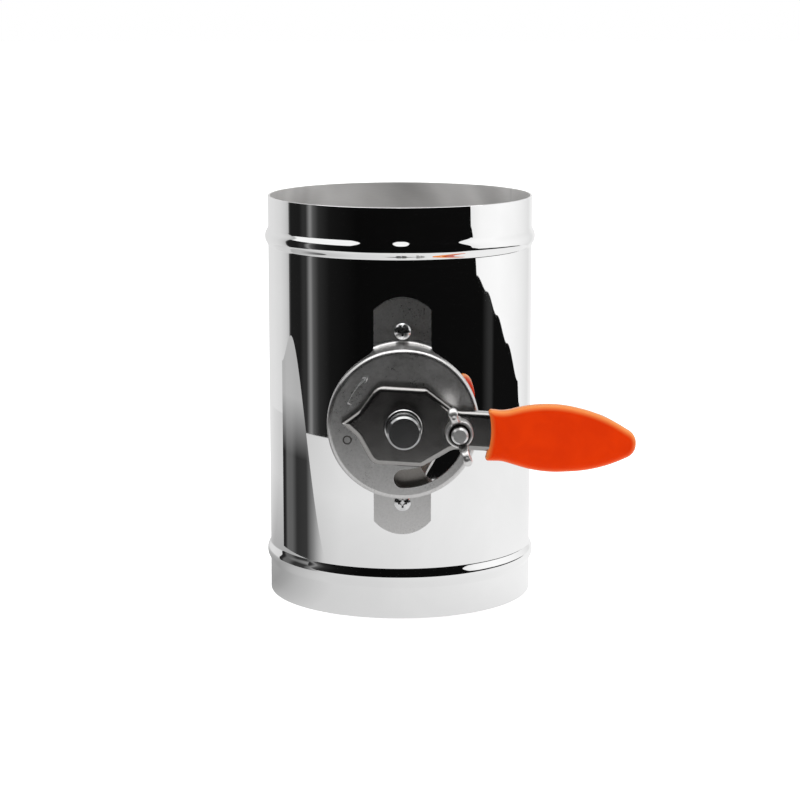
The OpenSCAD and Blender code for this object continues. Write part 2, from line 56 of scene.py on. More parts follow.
edge_round = 0.00025
shaft_low, shaft_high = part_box("front_bush")
shaft_height = (shaft_low.z + shaft_high.z) / 2
holes = (("front_bush_hole", 0.00742, -1, shaft_height), ("rear_bush_hole", 0.00542, 1, shaft_height),
         ("upper_screw_hole", 0.0016, -1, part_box("upper_strap_screw")[0].z + 0.003),
         ("lower_screw_hole", 0.0016, -1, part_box("lower_strap_screw")[0].z + 0.003))
seam_azimuth = math.radians(62)
seam_half_width = 0.0006


def new_object(name, mesh):
    thing = bpy.data.objects.new(name, mesh)
    bpy.context.scene.collection.objects.link(thing)
    return thing


def bead(height):
    """How far the sheet is swaged out at a height, and the slope there."""
    for middle in bead_middles:
        off = (height - middle) / bead_reach
        if abs(off) < 1:
            turn = math.pi * abs(off) ** bead_flatness
            slope = bead_flatness * abs(off) ** (bead_flatness - 1) * math.pi * math.sin(turn)
            return (bead_rise * (1 + math.cos(turn)) / 2,
                    -math.copysign(bead_rise * slope / (2 * bead_reach), off))
    return 0.0, 0.0


def turned_mesh(name, profile, around, closed):
    """A mesh turned about the upright axis from (radius, height) points."""
    mesh = bpy.data.meshes.new(name)
    points = [(r * math.cos(2 * math.pi * k / around), r * math.sin(2 * math.pi * k / around), z)
              for r, z in profile for k in range(around)]
    rows = len(profile)
    faces = [(i * around + k, i * around + (k + 1) % around,
              (i + 1) % rows * around + (k + 1) % around, (i + 1) % rows * around + k)
             for i in range(rows if closed else rows - 1) for k in range(around)]
    mesh.from_pydata(points, [], faces)
    return mesh


heights = sorted({round(edge_round + (duct_height - 2 * edge_round) * k / 48, 6) for k in range(49)}
                 | {round(m + bead_reach * k / 16, 6) for m in bead_middles for k in range(-16, 17)})
inner_radius = outer_radius - sheet_thickness
quarter = [math.pi / 2 * k / 4 for k in range(1, 4)]
profile = [(outer_radius + bead(z)[0], z) for z in heights]
profile += [(outer_radius - edge_round * (1 - math.cos(a)), duct_height - edge_round * (1 - math.sin(a)))
            for a in quarter]
profile += [(outer_radius - edge_round, duct_height), (inner_radius + edge_round, duct_height)]
profile += [(inner_radius + edge_round * (1 - math.sin(a)), duct_height - edge_round * (1 - math.cos(a)))
            for a in quarter]
profile += [(inner_radius + bead(z)[0], z) for z in reversed(heights)]
profile += [(inner_radius + edge_round * (1 - math.cos(a)), edge_round * (1 - math.sin(a)))
            for a in quarter]
profile += [(inner_radius + edge_round, 0.0), (outer_radius - edge_round, 0.0)]
profile += [(outer_radius - edge_round * (1 - math.sin(a)), edge_round * (1 - math.cos(a)))
            for a in quarter]
duct = new_object("rolled_duct", turned_mesh("rolled_duct", profile, 160, True))
cutters = []
for name, radius, side, height in holes:
    cutter = new_object(name, turned_mesh(name, [(radius, 0.0), (radius, 0.02)], 48, False))
    build = bmesh.new()
    build.from_mesh(cutter.data)
    bmesh.ops.holes_fill(build, edges=build.edges)
    bmesh.ops.recalc_face_normals(build, faces=build.faces)
    build.to_mesh(cutter.data)
    build.free()
    cutter.rotation_euler = (math.pi / 2 * -side, 0, 0)
    cutter.location = (0, 0.04 * side, height)
    cut = duct.modifiers.new(name, "BOOLEAN")
    cut.operation, cut.solver, cut.object = "DIFFERENCE", "EXACT", cutter
    cutters.append(cutter)
bpy.context.view_layer.update()
mesh = bpy.data.meshes.new_from_object(duct.evaluated_get(bpy.context.evaluated_depsgraph_get()))
duct.modifiers.clear()
duct.data = mesh
for cutter in cutters:
    bpy.data.objects.remove(cutter)
normals = []
for face in mesh.polygons:
    face.use_smooth = True
    for index in face.vertices:
        point = mesh.vertices[index].co
        reach = math.hypot(point.x, point.y)
        out, slope = bead(point.z)
        true = Vector((point.x / reach, point.y / reach, -slope)).normalized()
        outer = abs(reach - outer_radius - out) < 0.00002 and face.normal.dot(true) > 0.8
        inner = abs(reach - inner_radius - out) < 0.00002 and face.normal.dot(true) < -0.8
        normals.append(true if outer else -true if inner else face.normal.copy())
mesh.normals_split_custom_set(normals)


def new_material(name):
    """An empty node material and its tree."""
    material = bpy.data.materials.new(name)
    material.use_nodes = True
    material.node_tree.nodes.clear()
    return material, material.node_tree


def add_node(tree, kind, **values):
    """A node with its settings, or the values of its sockets, given by name."""
    node = tree.nodes.new("ShaderNode" + kind)
    for key, value in values.items():
        if hasattr(node, key):
            setattr(node, key, value)
        else:
            node.inputs[key.replace("_", " ")].default_value = value
    return node


def grey(level, warmth=0.0):
    """A metal's colour: its level, and how much redder than blue it is."""
    return (level + warmth, level, level - warmth, 1.0)


def between(tree, mask, low, high):
    """Turns a mask of 0 to 1 into values from low to high."""
    node = add_node(tree, "MapRange", To_Min=low, To_Max=high)
    tree.links.new(mask, node.inputs["Value"])
    return node.outputs["Result"]


def step_mask(tree, value, start, end):
    """0 where the value is under start, 1 where it is over end."""
    node = add_node(tree, "MapRange", From_Min=start, From_Max=end)
    tree.links.new(value, node.inputs["Value"])
    return node.outputs["Result"]


def mixed(tree, mask, first, second):
    """first where the mask is 0, second where it is 1. Each is a colour or a colour's socket."""
    node = add_node(tree, "Mix", data_type="RGBA")
    tree.links.new(mask, node.inputs[0])
    for value, socket in ((first, node.inputs[6]), (second, node.inputs[7])):
        if isinstance(value, tuple):
            socket.default_value = value
        else:
            tree.links.new(value, socket)
    return node.outputs[2]


def calculate(tree, operation, *values):
    """The result of a Math node. Each value is a number or a socket."""
    node = add_node(tree, "Math", operation=operation)
    for socket, value in zip(node.inputs, values):
        if isinstance(value, (int, float)):
            socket.default_value = value
        else:
            tree.links.new(value, socket)
    return node.outputs["Value"]


def new_group(name, inputs, outputs):
    """A node group with its input and output nodes. inputs are (name, kind, default)."""
    group = bpy.data.node_groups.new(name, "ShaderNodeTree")
    for socket_name, kind, default in inputs:
        socket = group.interface.new_socket(socket_name, in_out="INPUT", socket_type="NodeSocket" + kind)
        socket.default_value = default
    for socket_name, kind in outputs:
        group.interface.new_socket(socket_name, in_out="OUTPUT", socket_type="NodeSocket" + kind)
    return group, group.nodes.new("NodeGroupInput"), group.nodes.new("NodeGroupOutput")


# Lines that rolls, belts and dies draw along a sheet. The density is in lines per metre along each
# axis, so that a low one draws them out.
drawn_lines, start, end = new_group(
    "drawn_lines", [("Density", "Vector", (100.0, 100.0, 100.0))], [("Lines", "Float")])
place = add_node(drawn_lines, "TexCoord")
stretch = add_node(drawn_lines, "VectorMath", operation="MULTIPLY")
lines = add_node(drawn_lines, "TexNoise", Scale=1.0, Detail=3.0, Roughness=0.6)
drawn_lines.links.new(place.outputs["Object"], stretch.inputs[0])
drawn_lines.links.new(start.outputs["Density"], stretch.inputs[1])
drawn_lines.links.new(stretch.outputs["Vector"], lines.inputs["Vector"])
drawn_lines.links.new(lines.outputs["Fac"], end.inputs["Lines"])

# Broad, faint differences that handling and wiping leave on any surface.
handling, start, end = new_group(
    "handling", [("Patch Size", "Float", 0.02)], [("Cloud", "Float")])
place = add_node(handling, "TexCoord")
per_patch = calculate(handling, "DIVIDE", 1.0, start.outputs["Patch Size"])
clouds = add_node(handling, "TexNoise", Detail=4.0, Roughness=0.55, Distortion=0.6)
spread = add_node(handling, "MapRange", From_Min=0.35, From_Max=0.65)
handling.links.new(place.outputs["Object"], clouds.inputs["Vector"])
handling.links.new(per_patch, clouds.inputs["Scale"])
handling.links.new(clouds.outputs["Fac"], spread.inputs["Value"])
handling.links.new(spread.outputs["Result"], end.inputs["Cloud"])


def use_group(tree, group, **values):
    """A group in a material, with its own values by socket name."""
    node = tree.nodes.new("ShaderNodeGroup")
    node.node_tree = group
    for key, value in values.items():
        node.inputs[key.replace("_", " ")].default_value = value
    return node.outputs[0]


def metal_surface(tree, colour, roughness, height=None, depth=0.0, metal=1.0):
    """Ends a material in bare metal. colour, roughness, height and metal are sockets or values."""
    surface = add_node(tree, "BsdfPrincipled")
    out = add_node(tree, "OutputMaterial")
    for value, name in ((colour, "Base Color"), (roughness, "Roughness"), (metal, "Metallic")):
        if isinstance(value, (float, tuple)):
            surface.inputs[name].default_value = value
        else:
            tree.links.new(value, surface.inputs[name])
    if height is not None:
        relief = add_node(tree, "Bump", Strength=1.0, Distance=depth)
        tree.links.new(height, relief.inputs["Height"])
        tree.links.new(relief.outputs["Normal"], surface.inputs["Normal"])
    tree.links.new(surface.outputs["BSDF"], out.inputs["Surface"])


def dress(material, *names):
    for name in names:
        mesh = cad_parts[name].data
        mesh.materials.clear()
        mesh.materials.append(material)


mirror_sheet, tree = new_material("mirror_polished_stainless")
place = add_node(tree, "TexCoord")
axes = add_node(tree, "SeparateXYZ")
tree.links.new(place.outputs["Object"], axes.inputs["Vector"])
across, along, up = axes.outputs
radius = calculate(tree, "SQRT", calculate(
    tree, "ADD", calculate(tree, "MULTIPLY", across, across), calculate(tree, "MULTIPLY", along, along)))
bead_height = calculate(tree, "MINIMUM", *[
    calculate(tree, "ABSOLUTE", calculate(tree, "SUBTRACT", up, middle)) for middle in bead_middles])
swell = between(tree, step_mask(tree, bead_height, bead_reach, 0.0), 0.0, bead_rise)
outside = step_mask(tree, calculate(tree, "SUBTRACT", radius, swell), inner_radius + 0.0001,
                    inner_radius + 0.0005)
facing = add_node(tree, "SeparateXYZ")
tree.links.new(place.outputs["Normal"], facing.inputs["Vector"])
cut_edge = step_mask(tree, calculate(tree, "ABSOLUTE", facing.outputs["Z"]), 0.90, 0.97)
off_seam = calculate(tree, "ADD", calculate(tree, "MULTIPLY", across, math.cos(seam_azimuth)),
                     calculate(tree, "MULTIPLY", along, -math.sin(seam_azimuth)))
seam_side = step_mask(tree, calculate(
    tree, "ADD", calculate(tree, "MULTIPLY", across, math.sin(seam_azimuth)),
    calculate(tree, "MULTIPLY", along, math.cos(seam_azimuth))), 0.0, 0.001)
seam = calculate(tree, "MULTIPLY", seam_side, between(
    tree, step_mask(tree, calculate(tree, "ABSOLUTE", off_seam), seam_half_width,
                    seam_half_width * 1.5), 1.0, 0.0))
polish_lines = use_group(tree, drawn_lines, Density=(900.0, 900.0, 30.0))
mill_lines = use_group(tree, drawn_lines, Density=(300.0, 300.0, 3000.0))
smears = use_group(tree, handling, Patch_Size=0.03)
polish_colour = mixed(tree, smears, grey(0.90), grey(0.93))
# Broad patches from dark to pale grey on the mill skin, their size chosen so the inside wall comes out lighter at
# its left and darker at its right: partly the skin's own tone, partly painted light and shade.
skin_tone_and_shade = step_mask(tree, use_group(tree, handling, Patch_Size=0.16), 0.3, 0.7)
mill_skin_and_shade = mixed(tree, skin_tone_and_shade, mixed(tree, mill_lines, grey(0.44, 0.008), grey(0.54, 0.006)),
                    mixed(tree, mill_lines, grey(0.89, 0.010), grey(0.97, 0.008)))
sheet_colour = mixed(tree, outside, mill_skin_and_shade, polish_colour)
polish_roughness = calculate(tree, "ADD", between(tree, polish_lines, 0.008, 0.02),
                             between(tree, smears, 0.0, 0.008))
mill_roughness = between(tree, mill_lines, 0.42, 0.56)
worked = calculate(tree, "MAXIMUM", cut_edge, seam)
surface_roughness = calculate(tree, "ADD", calculate(tree, "MULTIPLY", outside, polish_roughness),
                              calculate(tree, "MULTIPLY", between(tree, outside, 1.0, 0.0),
                                        mill_roughness))
worked_roughness = calculate(tree, "MAXIMUM", surface_roughness, between(tree, worked, 0.0, 0.26))
metal_surface(tree, mixed(tree, worked, sheet_colour, grey(0.72, 0.006)), worked_roughness,
              metal=between(tree, outside, 0.75, 1.0))
duct.data.materials.clear()
duct.data.materials.append(mirror_sheet)
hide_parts("duct_shell")
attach(duct, "duct")


# The quadrant and the strap behind it. Both are pressed from plain stainless sheet, so they are
# satin grey with a fine grain, and their sheared and bent edges are brighter. The strap is spot
# welded between the quadrant's legs.
grain, start, end = new_group("grain", [("Grain Size", "Float", 0.0004)], [("Grain", "Float")])
place = add_node(grain, "TexCoord")
per_grain = calculate(grain, "DIVIDE", 1.0, start.outputs["Grain Size"])
crystals = add_node(grain, "TexNoise", Detail=5.0, Roughness=0.75)
contrast = add_node(grain, "MapRange", From_Min=0.3, From_Max=0.7)
grain.links.new(place.outputs["Object"], crystals.inputs["Vector"])
grain.links.new(per_grain, crystals.inputs["Scale"])
grain.links.new(crystals.outputs["Fac"], contrast.inputs["Value"])
grain.links.new(contrast.outputs["Result"], end.inputs["Grain"])

# Where a sheet's edge or bend is rubbed bright, found as the difference between the surface and
# the same surface with its edges rounded.
rubbed_edge, start, end = new_group("rubbed_edge", [("Width", "Float", 0.0003)], [("Edge", "Float")])
true_face = add_node(rubbed_edge, "NewGeometry")
rounded = add_node(rubbed_edge, "Bevel", samples=6)
alike = add_node(rubbed_edge, "VectorMath", operation="DOT_PRODUCT")
turned = add_node(rubbed_edge, "MapRange", From_Min=0.995, From_Max=0.9)
rubbed_edge.links.new(start.outputs["Width"], rounded.inputs["Radius"])
rubbed_edge.links.new(rounded.outputs["Normal"], alike.inputs[0])
rubbed_edge.links.new(true_face.outputs["Normal"], alike.inputs[1])
rubbed_edge.links.new(alike.outputs["Value"], turned.inputs["Value"])
rubbed_edge.links.new(turned.outputs["Result"], end.inputs["Edge"])


def pressed_sheet(name, dark, light, edge, roughness, grain_size, edge_width, relief):
    """Satin sheet: its grain from dark to light, its rubbed edges, and its roughness range."""
    material, tree = new_material(name)
    specks = use_group(tree, grain, Grain_Size=grain_size)
    smears = use_group(tree, handling, Patch_Size=0.012)
    edges = use_group(tree, rubbed_edge, Width=edge_width)
    body = mixed(tree, specks, dark, light)
    toned = mixed(tree, calculate(tree, "MULTIPLY", smears, 0.5), body, light)
    rough = calculate(tree, "ADD", between(tree, specks, roughness[0], roughness[1]),
                      between(tree, smears, 0.0, 0.04))
    rubbed_rough = calculate(tree, "MULTIPLY", rough, between(tree, edges, 1.0, 0.45))
    metal_surface(tree, mixed(tree, edges, toned, edge), rubbed_rough, specks, relief)
    return material


satin_sheet = pressed_sheet("satin_stainless", grey(0.54, 0.006), grey(0.74, 0.006), grey(0.84),
                            (0.25, 0.33), 0.0008, 0.0003, 0.0000025)
dress(satin_sheet, "quadrant_plate")
inner_sheet = pressed_sheet("mill_finish_stainless", grey(0.34, 0.030), grey(0.46, 0.020),
                            grey(0.75, 0.01), (0.34, 0.44), 0.0006, 0.0002, 0.000004)
dress(inner_sheet, "bearing_strap")


# Two marks are stamped in the quadrant's face: a small ring where the pointer stands when the
# blade is open, and an arrow that shows which way to turn the lever. A stamp throws up a fine lip
# on each side of its line, and that lip is what is seen of it.
disc_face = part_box("quadrant_plate")[0].y
mark_lip = 0.00026
mark_rise = 0.00016
ring_mark_angle = math.radians(-165)
ring_mark_distance = 0.0207
ring_mark_radius = 0.0014
arrow_distance = 0.0214
arrow_angles = (math.radians(158), math.radians(126))


def smooth_faces(mesh):
    for face in mesh.polygons:
        face.use_smooth = True


# The ring mark's lip is coloured near black: a painted shade for its stamped groove.
stamp_groove_shade, tree = new_material("stamped_line_painted_shade")
groove_specks = use_group(tree, grain, Grain_Size=0.0004)
metal_surface(tree, mixed(tree, groove_specks, grey(0.05, 0.004), grey(0.20, 0.006)), between(tree, groove_specks, 0.6, 0.4))


def stamped_line(name, path, closed, material=satin_sheet):
    """A fine half-round lip on the disc's face along a path of (x, z) about the shaft."""
    mesh = bpy.data.meshes.new(name)
    points, faces = [], []
    count, sides = len(path), 6
    for i, (x, z) in enumerate(path):
        before = path[i - 1] if closed or i else path[i]
        after = path[(i + 1) % count] if closed or i < count - 1 else path[i]
        ahead = Vector((after[0] - before[0], 0, after[1] - before[1])).normalized()
        aside = Vector((ahead.z, 0, -ahead.x))
        for k in range(sides + 1):
            turn = math.pi * k / sides
            points.append(Vector((x, disc_face + 0.00001, shaft_height + z))
                          + aside * mark_lip * math.cos(turn)
                          + Vector((0, -mark_rise * math.sin(turn), 0)))
    row = sides + 1
    for i in range(count if closed else count - 1):
        here, there = i * row, (i + 1) % count * row
        faces += [(here + k, there + k, there + (k + 1) % row, here + (k + 1) % row) for k in range(row)]
    if not closed:
        faces += [tuple(range(row)), tuple(range(count * row - 1, (count - 1) * row - 1, -1))]
    mesh.from_pydata(points, [], faces)
    smooth_faces(mesh)
    mesh.materials.append(material)
    line = new_object(name, mesh)
    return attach(line, "duct")


ring_middle = (ring_mark_distance * math.cos(ring_mark_angle), ring_mark_distance * math.sin(ring_mark_angle))
stamped_line("open_mark", [
    (ring_middle[0] + ring_mark_radius * math.cos(2 * math.pi * k / 40),
     ring_middle[1] + ring_mark_radius * math.sin(2 * math.pi * k / 40)) for k in range(40)], True, stamp_groove_shade)
sweep = [arrow_angles[0] + (arrow_angles[1] - arrow_angles[0]) * k / 30 for k in range(31)]
stamped_line("turn_mark", [
    (arrow_distance * math.cos(a), arrow_distance * math.sin(a)) for a in sweep], False)
tail = (arrow_distance * math.cos(sweep[0]), arrow_distance * math.sin(sweep[0]))
head = (arrow_distance * math.cos(sweep[-1]), arrow_distance * math.sin(sweep[-1]))
stamped_line("turn_mark_head", [
    (head[0] - 0.0021, head[1] - 0.0002), head, (head[0] - 0.0007, head[1] - 0.0020)], False)
stamped_line("turn_mark_tail", [tail, (tail[0] + 0.0014, tail[1] - 0.0007)], False)


# Screws, nuts and washers. They are turned or pressed from steel wire and strip and plated with
# bright zinc, which is smooth but not a mirror, and their recesses are painted dark: painted shade.
# Painted shade: a surface is coloured darker and made rougher the more of the sky its own and nearby walls hide
# within the reach.
painted_recess_shade, start, end = new_group("painted_recess_shade", [("Reach", "Float", 0.0006)], [("Painted Shade", "Float")])
open_sky = add_node(painted_recess_shade, "AmbientOcclusion", samples=8)
darkening = add_node(painted_recess_shade, "MapRange", From_Min=0.70, From_Max=0.40)
painted_recess_shade.links.new(start.outputs["Reach"], open_sky.inputs["Distance"])
painted_recess_shade.links.new(open_sky.outputs["AO"], darkening.inputs["Value"])
painted_recess_shade.links.new(darkening.outputs["Result"], end.inputs["Painted Shade"])

plated, tree = new_material("bright_zinc_plate")
smears = use_group(tree, handling, Patch_Size=0.002)
specks = use_group(tree, grain, Grain_Size=0.0003)
edges = use_group(tree, rubbed_edge, Width=0.00015)
recess_darkness = use_group(tree, painted_recess_shade, Reach=0.0008)
unshaded_zinc = mixed(tree, edges, mixed(tree, smears, grey(0.70, -0.004), grey(0.84, -0.002)), grey(0.93))
metal_surface(tree, mixed(tree, recess_darkness, unshaded_zinc, grey(0.05, 0.004)),
              calculate(tree, "MAXIMUM", between(tree, specks, 0.14, 0.24), between(tree, recess_darkness, 0.0, 0.6)),
              specks, 0.000002)
dress(plated, "upper_strap_screw", "lower_strap_screw", "upper_strap_nut", "lower_strap_nut",
      "front_blade_screw", "rear_blade_screw", "front_blade_washer", "rear_blade_washer",
      "rear_washer")


# The bushes. They are pressed and sintered from bronze powder and soaked in oil, so they are dull
# yellow-brown with open pores. Their thin lips are rolled over the sheets that they sit in.
sintered, tree = new_material("sintered_bronze")
pores = use_group(tree, grain, Grain_Size=0.00035)
smears = use_group(tree, handling, Patch_Size=0.004)
bronze = mixed(tree, smears, (0.42, 0.25, 0.10, 1.0), (0.56, 0.36, 0.16, 1.0))
metal_surface(tree, mixed(tree, step_mask(tree, pores, 0.1, 0.3), (0.10, 0.06, 0.03, 1.0), bronze),
              between(tree, pores, 0.55, 0.34), pores, 0.00002)
dress(sintered, "front_bush", "rear_bush")


# The shaft and the lock bolt. Both are turned from bright bar, and the tool leaves fine rings on
# their faces.
turned_rings, start, end = new_group(
    "turned_rings", [("Centre", "Vector", (0.0, 0.0, 0.0)), ("Pitch", "Float", 0.0001)], [("Rings", "Float")])
place = add_node(turned_rings, "TexCoord")
offset = add_node(turned_rings, "VectorMath", operation="SUBTRACT")
flattened = add_node(turned_rings, "VectorMath", operation="MULTIPLY")
flattened.inputs[1].default_value = (1.0, 0.0, 1.0)
reach = add_node(turned_rings, "VectorMath", operation="LENGTH")
rings = add_node(turned_rings, "TexNoise", noise_dimensions="1D", Scale=1.0, Detail=3.0, Roughness=0.7)
turned_rings.links.new(place.outputs["Object"], offset.inputs[0])
turned_rings.links.new(start.outputs["Centre"], offset.inputs[1])
turned_rings.links.new(offset.outputs["Vector"], flattened.inputs[0])
turned_rings.links.new(flattened.outputs["Vector"], reach.inputs[0])
turned_rings.links.new(calculate(turned_rings, "DIVIDE", reach.outputs["Value"], start.outputs["Pitch"]),
                       rings.inputs["W"])
turned_rings.links.new(rings.outputs["Fac"], end.inputs["Rings"])


bar_steel, tree = new_material("turned_bar")
marks = use_group(tree, turned_rings, Centre=(0.0, 0.0, shaft_height), Pitch=0.00012)
smears = use_group(tree, handling, Patch_Size=0.005)
edges = use_group(tree, rubbed_edge, Width=0.0003)
metal_surface(tree, mixed(tree, edges, mixed(tree, smears, grey(0.42, -0.004), grey(0.50, -0.003)), grey(0.95)),
              between(tree, marks, 0.17, 0.22), marks, 0.0000003)
dress(bar_steel, "shaft")


# The retaining clip. It is stamped from hardened spring strip and blackened by its heat treatment.
spring, tree = new_material("blackened_spring_steel")
scale = use_group(tree, grain, Grain_Size=0.0005)
edges = use_group(tree, rubbed_edge, Width=0.00015)
metal_surface(tree, mixed(tree, edges, mixed(tree, scale, grey(0.10, 0.004), grey(0.18, 0.006)), grey(0.4)),
              between(tree, scale, 0.35, 0.5), scale, 0.000004)
dress(spring, "rear_clip")


# The blade. It is a disc of satin stainless, cut by laser, and screwed to a flat on the shaft.
blade_sheet, tree = new_material("brushed_stainless")
brushed = use_group(tree, drawn_lines, Density=(400.0, 400.0, 9000.0))
smears = use_group(tree, handling, Patch_Size=0.02)
edges = use_group(tree, rubbed_edge, Width=0.0002)
metal_surface(tree, mixed(tree, edges, mixed(tree, brushed, grey(0.52, 0.003), grey(0.68, 0.002)), grey(0.8)),
              calculate(tree, "ADD", between(tree, brushed, 0.24, 0.36), between(tree, smears, 0.0, 0.05)),
              brushed, 0.000004)
dress(blade_sheet, "blade")


# The washer under the lever. It is punched from black vulcanised fibre, which has a dull, faintly
# flecked face.
fibre, tree = new_material("black_fibre")
flecks = use_group(tree, drawn_lines, Density=(6000.0, 1500.0, 1500.0))
surface = add_node(tree, "BsdfPrincipled")
relief = add_node(tree, "Bump", Strength=1.0, Distance=0.00002)
out = add_node(tree, "OutputMaterial")
tree.links.new(mixed(tree, flecks, (0.008, 0.008, 0.009, 1.0), (0.03, 0.028, 0.027, 1.0)),
               surface.inputs["Base Color"])
tree.links.new(between(tree, flecks, 0.6, 0.85), surface.inputs["Roughness"])
tree.links.new(flecks, relief.inputs["Height"])
tree.links.new(relief.outputs["Normal"], surface.inputs["Normal"])
tree.links.new(surface.outputs["BSDF"], out.inputs["Surface"])
dress(fibre, "lever_washer")


# The lever. It is pressed from a thicker stainless sheet with its edges turned down all round,
# then polished by tumbling, so its face is smoother than the quadrant's.
lever_sheet = pressed_sheet("tumbled_stainless", grey(0.31, 0.009), grey(0.38, 0.007), grey(0.98),
                            (0.17, 0.20), 0.0007, 0.0004, 0.0000002)
dress(lever_sheet, "lever_plate")

lever_face = 0.0705
lip_profile = [(0.00680, 0.00062), (0.00680, 0.00100), (0.00676, 0.00116), (0.00668, 0.00130), (0.00602, 0.00205),
               (0.00602, 0.00062)]
lip = new_object("lever_ring_lip", turned_mesh("lever_ring_lip", lip_profile, 96, True))
for point in lip.data.vertices:
    point.co = (point.co.x, -lever_face - point.co.z, shaft_height + point.co.y)
smooth_faces(lip.data)
lip.data.materials.append(plated)
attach(lip, "spindle")


# The grip. The lever's paddle is heated and dipped in liquid vinyl, which sets to a soft orange
# coat with a thick, slightly hollow mouth where it was pulled out of the bath.
lever_set = math.radians(3.7)
grip_start, grip_length = 0.0297, 0.0535
coat = 0.0016
coat_back, coat_front = 0.0663 - coat, lever_face + coat
mouth_hollow, grip_middle, corner_steps = 0.0016, -0.0011, 16
# Place along the arm, width above the arm's middle and below it, and rounding. The coat ran down a
# little before it set, so there is more of it below.
grip_corners = [
    (grip_start, 0.0082, 0.0105, 0.001),
    (grip_start + 0.006, 0.0079, 0.0102, 0.012),
    (grip_start + 0.38 * grip_length, 0.0127, 0.0137, 0.044),
    (grip_start + 0.76 * grip_length, 0.0089, 0.0115, 0.050),
    (grip_start + grip_length, 0.0020, 0.0047, 0.0052),
]


def on_lever(x, y, z):
    """A point in the lever's frame, x along its arm, y up and z out of the front, where it rests."""
    return Vector((x * math.cos(lever_set) + y * math.sin(lever_set), -z,
                   shaft_height + y * math.cos(lever_set) - x * math.sin(lever_set)))


def rounded_outline(corners, inset, steps):
    """The outline of corners (x, y, radius), anticlockwise, rounded and moved inward."""
    outline = []
    for i, (x, y, radius) in enumerate(corners):
        here = Vector((x, y))
        arriving = (here - Vector(corners[i - 1][:2])).normalized()
        leaving = (Vector(corners[(i + 1) % len(corners)][:2]) - here).normalized()
        turn = math.atan2(arriving.x * leaving.y - arriving.y * leaving.x, arriving.dot(leaving))
        signed = max(radius, inset + 0.0001) if turn > 0 else -radius
        left = Vector((-arriving.y - leaving.y, arriving.x + leaving.x))
        centre = here + left * signed / (1 + arriving.dot(leaving))
        first = math.atan2(-arriving.x, arriving.y)
        for k in range(steps + 1):
            angle = first + turn * k / steps
            outline.append(centre + (signed - inset) * Vector((math.cos(angle), math.sin(angle))))
    return outline


around = ([(grip_start + mouth_hollow, grip_middle, 0.030)]
          + [(x, -below, rounding) for x, above, below, rounding in grip_corners]
          + [(x, above, rounding) for x, above, below, rounding in reversed(grip_corners)])
coat_edge = (coat_front - coat_back) / 2 - 0.0004
sections = 14
spine = (grip_start + 0.0098, grip_start + grip_length - 0.0070)
rings = []
for k in range(sections + 1):
    angle = math.pi / 2 * k / sections
    drop = coat_edge * (1 - math.sin(angle))
    outline = rounded_outline(around, coat_edge * (1 - math.cos(angle)) * 0.8, corner_steps)
    rings.insert(0, [on_lever(p.x, p.y, coat_back + drop) for p in outline])
    rings.append([on_lever(p.x, p.y, coat_front - drop) for p in outline])
for share in (0.1, 0.5, 1.0):
    drawn_in = []
    for n, p in enumerate(outline):
        along_spine = min(max((p.x + outline[corner_steps - n].x) / 2, spine[0]), spine[1])
        drawn_in.append(p.lerp(Vector((along_spine, grip_middle)), share))
    rings.insert(0, [on_lever(p.x, p.y, coat_back) for p in drawn_in])
    rings.append([on_lever(p.x, p.y, coat_front) for p in drawn_in])

mesh = bpy.data.meshes.new("dipped_grip")
build = bmesh.new()
rows = [[build.verts.new(p) for p in ring] for ring in rings]
for first, second in zip(rows, rows[1:]):
    for i in range(len(first)):
        j = (i + 1) % len(first)
        build.faces.new((first[i], first[j], second[j], second[i]))
bmesh.ops.remove_doubles(build, verts=build.verts, dist=0.000002)
bmesh.ops.recalc_face_normals(build, faces=build.faces)
build.to_mesh(mesh)
build.free()
smooth_faces(mesh)
grip = new_object("dipped_grip", mesh)

vinyl, tree = new_material("orange_vinyl")
skin = use_group(tree, grain, Grain_Size=0.0012)
smears = use_group(tree, handling, Patch_Size=0.010)
surface = add_node(tree, "BsdfPrincipled")
surface.inputs["Specular IOR Level"].default_value = 0.15
surface.inputs["Specular Tint"].default_value = (1.0, 0.62, 0.36, 1.0)
relief = add_node(tree, "Bump", Strength=1.0, Distance=0.00001)
out = add_node(tree, "OutputMaterial")
# The rounded edge is painted paler, and more so where it faces up: a painted glow of the light from above.
world_face, facing = add_node(tree, "NewGeometry"), add_node(tree, "SeparateXYZ")
tree.links.new(world_face.outputs["Normal"], facing.inputs["Vector"])
round_edge = step_mask(tree, calculate(tree, "ABSOLUTE", facing.outputs["Y"]), 0.97, 0.45)
painted_edge_light = calculate(tree, "MULTIPLY", round_edge, between(
    tree, step_mask(tree, facing.outputs["Z"], -0.5, 0.6), 0.3, 1.0))
dyed_vinyl = mixed(tree, smears, (0.55, 0.024, 0.0, 1.0), (0.60, 0.029, 0.0, 1.0))
tree.links.new(mixed(tree, painted_edge_light, dyed_vinyl, (0.82, 0.26, 0.06, 1.0)), surface.inputs["Base Color"])
tree.links.new(between(tree, skin, 0.17, 0.24), surface.inputs["Roughness"])
tree.links.new(skin, relief.inputs["Height"])
tree.links.new(relief.outputs["Normal"], surface.inputs["Normal"])
tree.links.new(surface.outputs["BSDF"], out.inputs["Surface"])
mesh.materials.append(vinyl)
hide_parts("lever_grip")
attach(grip, "spindle")


